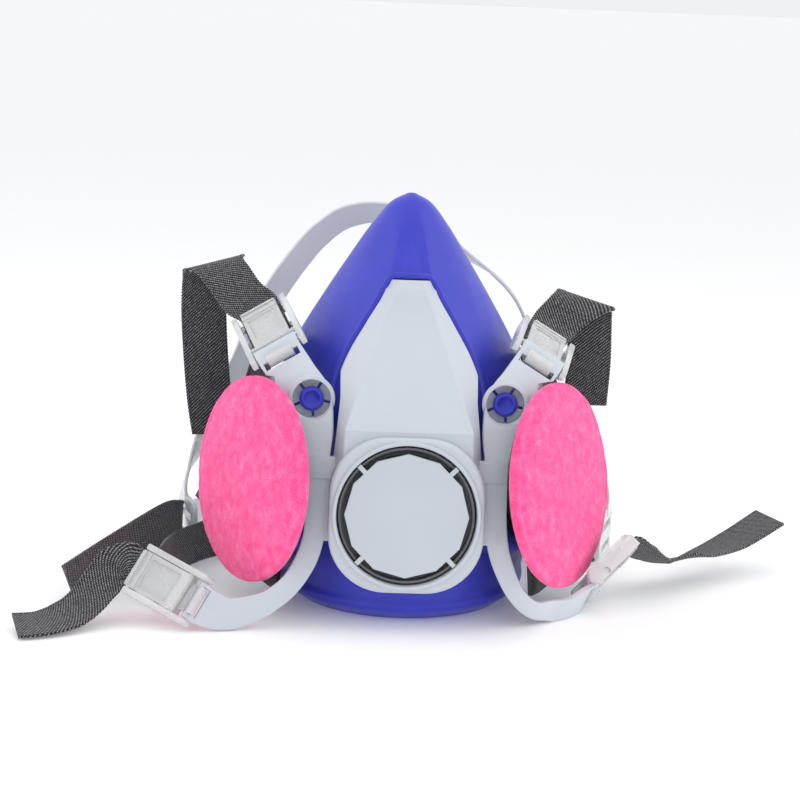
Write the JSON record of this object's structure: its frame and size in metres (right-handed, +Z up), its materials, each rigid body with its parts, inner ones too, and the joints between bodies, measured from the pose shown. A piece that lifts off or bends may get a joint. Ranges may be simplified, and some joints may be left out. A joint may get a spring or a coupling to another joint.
{
  "type": "respirator",
  "caption": "Half-face respirator with a silicone facepiece, grey front shell and exhalation valve, round felt filters on side ports, and a head harness with buckles and cradle.",
  "frame": {"origin": "on the floor under the middle of the chin, where the mask stands", "axes": "+Z up; the front of the mask faces -Y; +X is to the right of someone facing the mask"},
  "size_m": [0.2974, 0.1992, 0.1513],
  "materials": {
    "blue_silicone": "soft satin silicone",
    "grey_plastic": "fine satin",
    "dark_ring": "polished",
    "flap_silicone": "matt",
    "black_plastic": "gloss",
    "gasket_rubber": "matt",
    "pink_felt": "needled felt",
    "clear_plastic": "clear, slightly milky",
    "cradle_plastic": "milky flexible plastic",
    "webbing": "woven elastic"
  },
  "bodies": {
    "mask": {"facepiece": "blue_silicone", "front_shell": "grey_plastic", "valve_seat": "grey_plastic", "valve_ring": "dark_ring", "valve_cover": "grey_plastic", "head_cradle": "cradle_plastic", "neck_strap": "webbing", "upper_strap_end_left": "webbing", "harness_arm_left": "grey_plastic", "stud_left": "blue_silicone", "port_body_left": "black_plastic", "filter_gasket_left": "gasket_rubber", "upper_strap_left": "webbing", "harness_arm_right": "grey_plastic", "stud_right": "blue_silicone", "port_body_right": "black_plastic", "filter_gasket_right": "gasket_rubber", "upper_strap_right": "webbing"},
    "exhalation_flap": {"exhalation_flap": "flap_silicone"},
    "inhalation_flap_left": {"inhalation_flap_left": "flap_silicone"},
    "filter_left": {"filter_mount_left": "black_plastic", "filter_pad_left": "pink_felt"},
    "inhalation_flap_right": {"inhalation_flap_right": "flap_silicone"},
    "filter_right": {"filter_mount_right": "black_plastic", "filter_pad_right": "pink_felt"},
    "buckle_upper_left": {"buckle_frame_upper_left": "clear_plastic", "strap_tail_upper_left": "webbing"},
    "lever_upper_left": {"buckle_lever_upper_left": "clear_plastic"},
    "buckle_lower_left": {"buckle_frame_lower_left": "clear_plastic", "strap_tail_lower_left": "webbing"},
    "lever_lower_left": {"buckle_lever_lower_left": "clear_plastic"},
    "buckle_upper_right": {"buckle_frame_upper_right": "clear_plastic", "strap_tail_upper_right": "webbing"},
    "lever_upper_right": {"buckle_lever_upper_right": "clear_plastic"},
    "buckle_lower_right": {"buckle_frame_lower_right": "clear_plastic", "strap_tail_lower_right": "webbing"},
    "lever_lower_right": {"buckle_lever_lower_right": "clear_plastic"}
  },
  "joints": [
    {"name": "exhalation_flap_lift", "type": "slide", "parent": "mask", "child": "exhalation_flap", "axis": [0, -0.9925, 0.1219], "range_m": [0, 0.0015], "stiffness_N_per_m": 20},
    {"name": "inhalation_flap_left_lift", "type": "slide", "parent": "mask", "child": "inhalation_flap_left", "axis": [0.8379, 0.5354, -0.106], "range_m": [0, 0.001], "stiffness_N_per_m": 20},
    {"name": "filter_left_twist", "type": "hinge", "parent": "mask", "child": "filter_left", "pos_m": [-0.038, 0.00919, 0.04625], "axis": [-0.8379, -0.5354, 0.106], "range_deg": [0, 60]},
    {"name": "inhalation_flap_right_lift", "type": "slide", "parent": "mask", "child": "inhalation_flap_right", "axis": [-0.8352, 0.5276, -0.155], "range_m": [0, 0.001], "stiffness_N_per_m": 20},
    {"name": "filter_right_twist", "type": "hinge", "parent": "mask", "child": "filter_right", "pos_m": [0.0388, 0.00919, 0.04625], "axis": [0.8352, -0.5276, 0.155], "range_deg": [0, 60]},
    {"name": "buckle_upper_left_swing", "type": "hinge", "parent": "mask", "child": "buckle_upper_left", "pos_m": [-0.04809, 0.00556, 0.09454], "axis": [0.8583, 0.0625, 0.5094], "range_deg": [0, 25]},
    {"name": "lever_upper_left_open", "type": "hinge", "parent": "buckle_upper_left", "child": "lever_upper_left", "pos_m": [-0.0505, 0.01172, 0.09785], "axis": [0.8583, 0.0625, 0.5094], "range_deg": [0, 50]},
    {"name": "buckle_lower_left_swing", "type": "hinge", "parent": "mask", "child": "buckle_lower_left", "pos_m": [-0.0758, -0.0327, 0.01119], "axis": [0.4712, 0.3742, 0.7988], "range_deg": [0, 20]},
    {"name": "lever_lower_left_open", "type": "hinge", "parent": "buckle_lower_left", "child": "lever_lower_left", "pos_m": [-0.07978, -0.03098, 0.01274], "axis": [0.4712, 0.3742, 0.7988], "range_deg": [0, 50]},
    {"name": "buckle_upper_right_swing", "type": "hinge", "parent": "mask", "child": "buckle_upper_right", "pos_m": [0.04809, 0.00556, 0.09454], "axis": [0.8583, -0.0625, -0.5094], "range_deg": [0, 25]},
    {"name": "lever_upper_right_open", "type": "hinge", "parent": "buckle_upper_right", "child": "lever_upper_right", "pos_m": [0.0496, 0.01261, 0.09622], "axis": [0.8583, -0.0625, -0.5094], "range_deg": [0, 50]},
    {"name": "buckle_lower_right_swing", "type": "hinge", "parent": "mask", "child": "buckle_lower_right", "pos_m": [0.0718, 0.00069, 0.00901], "axis": [0.2274, -0.7076, 0.669], "range_deg": [0, 12]},
    {"name": "lever_lower_right_open", "type": "hinge", "parent": "buckle_lower_right", "child": "lever_lower_right", "pos_m": [0.07461, 0.00363, 0.01116], "axis": [-0.2274, 0.7076, -0.669], "range_deg": [0, 50]}
  ]
}
